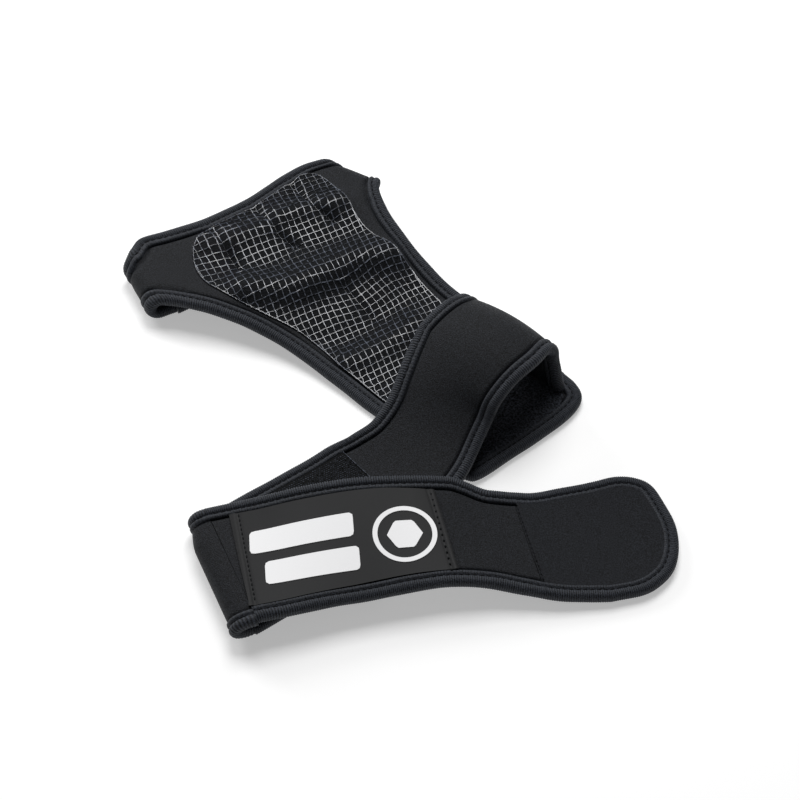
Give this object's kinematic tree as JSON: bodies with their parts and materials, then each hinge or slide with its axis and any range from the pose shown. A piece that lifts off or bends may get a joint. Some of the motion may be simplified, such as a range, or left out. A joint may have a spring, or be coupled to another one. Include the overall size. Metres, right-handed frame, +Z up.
{
  "type": "gymnastics hand grip",
  "caption": "Black neoprene palm grip with finger holes, a silicone grip patch and a wrap-round wrist strap with hook and loop closure and a pull tab.",
  "frame": {"origin": "centre of the bounding box in plan, on the table it lies on", "axes": "+Z up from the table, +X along the label strap towards its tab, +Y from the folded strap towards the fingers"},
  "size_m": [0.2302, 0.2546, 0.0371],
  "materials": {
    "neoprene": "matt knitted jersey over neoprene foam",
    "binding_tape": "ribbed woven tape, slight sheen",
    "grip_silicone": "satin silicone strands over dark mesh",
    "loop_pile": "napped pile",
    "hook_tape": "moulded hooks on woven tape",
    "label_rubber": "matt",
    "label_print": "matt raised print",
    "tab_cover_cloth": "matt jersey"
  },
  "bodies": {
    "palm": {"palm_panel": "neoprene", "back_band_panel": "neoprene", "grip_patch": "grip_silicone", "finger_edge_binding": "binding_tape", "little_side_binding": "binding_tape", "wrist_end_binding": "binding_tape", "thumb_side_binding": "binding_tape", "back_band_front_binding": "binding_tape", "back_band_rear_binding": "binding_tape", "finger_divider_1": "binding_tape", "finger_divider_2": "binding_tape", "finger_divider_3": "binding_tape", "loop_patch": "loop_pile", "strap_seam_strip": "binding_tape"},
    "strap": {"strap_panel": "neoprene", "strap_inner_binding": "binding_tape", "strap_outer_binding": "binding_tape", "hook_patch": "hook_tape", "fold_panel": "neoprene", "fold_inner_binding": "binding_tape", "fold_outer_binding": "binding_tape"},
    "label_strap": {"label_strap_panel": "neoprene", "label_strap_inner_binding": "binding_tape", "label_strap_outer_binding": "binding_tape", "rubber_label": "label_rubber", "label_bar_upper": "label_print", "label_bar_lower": "label_print", "label_ring": "label_print", "label_hexagon": "label_print"},
    "tab": {"tab_panel": "neoprene", "tab_binding": "binding_tape", "tab_cover": "tab_cover_cloth"}
  },
  "joints": [
    {"name": "strap_root", "type": "hinge", "parent": "palm", "child": "strap", "pos_m": [0.05327, 0.01686, 0.0054], "axis": [-0.7826, 0.6225, 0], "range_deg": [0, 60]},
    {"name": "strap_fold", "type": "hinge", "parent": "strap", "child": "label_strap", "pos_m": [-0.0619, -0.0946, 0.0076], "axis": [0.3907, -0.9205, 0], "range_deg": [0, 110], "deforming": ["fold_panel", "fold_inner_binding", "fold_outer_binding"]},
    {"name": "tab_peel", "type": "hinge", "parent": "label_strap", "child": "tab", "pos_m": [0.05471, -0.08273, 0.0094], "axis": [0.2579, -0.9655, -0.037], "range_deg": [0, 70]}
  ]
}
